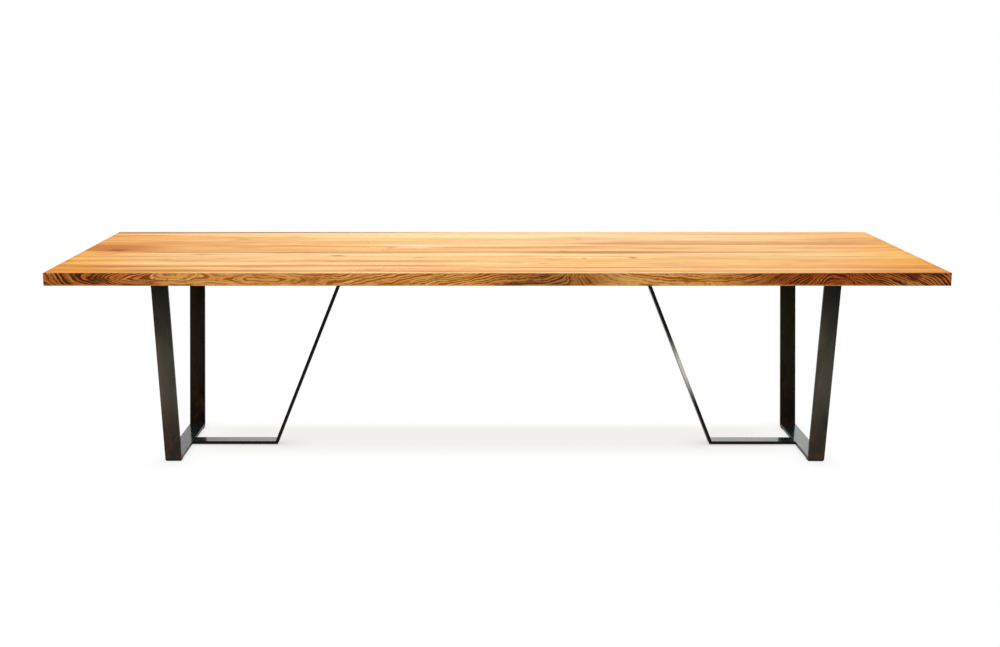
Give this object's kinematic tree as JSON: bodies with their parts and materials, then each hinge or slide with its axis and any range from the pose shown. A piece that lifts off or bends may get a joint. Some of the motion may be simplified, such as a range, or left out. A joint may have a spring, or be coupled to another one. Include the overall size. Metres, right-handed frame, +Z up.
{
  "type": "refectory table",
  "caption": "Long dining table: thick top of edge-glued boards on two welded flat-bar steel frames with leaning legs, floor stretchers and raking struts.",
  "frame": {"origin": "on the floor under the middle of the top", "axes": "+X along the table to the viewer's right, +Y from the front to the rear, +Z up"},
  "size_m": [3.08, 1.1, 0.75],
  "materials": {
    "top_wood": "oiled solid wood, honey brown, straight grain with dark streaks",
    "tongue_wood": "planed, raw",
    "blackened_steel": "blackened flat bar under clear lacquer",
    "bolt_steel": "zinc plated",
    "insert_brass": "turned",
    "pad_rubber": "matt black"
  },
  "bodies": {
    "root": {"front_board": "top_wood", "front_middle_board": "top_wood", "rear_middle_board": "top_wood", "rear_board": "top_wood", "front_joint_tongue": "tongue_wood", "middle_joint_tongue": "tongue_wood", "rear_joint_tongue": "tongue_wood", "left_front_leg": "blackened_steel", "left_rear_leg": "blackened_steel", "left_floor_bar": "blackened_steel", "left_top_rail": "blackened_steel", "left_stretcher": "blackened_steel", "left_strut": "blackened_steel", "left_strut_plate": "blackened_steel", "left_front_pad": "pad_rubber", "left_rear_pad": "pad_rubber", "left_inner_pad": "pad_rubber", "left_bolts": "bolt_steel", "left_washers": "bolt_steel", "left_inserts": "insert_brass", "right_front_leg": "blackened_steel", "right_rear_leg": "blackened_steel", "right_floor_bar": "blackened_steel", "right_top_rail": "blackened_steel", "right_stretcher": "blackened_steel", "right_strut": "blackened_steel", "right_strut_plate": "blackened_steel", "right_front_pad": "pad_rubber", "right_rear_pad": "pad_rubber", "right_inner_pad": "pad_rubber", "right_bolts": "bolt_steel", "right_washers": "bolt_steel", "right_inserts": "insert_brass"}
  },
  "joints": []
}
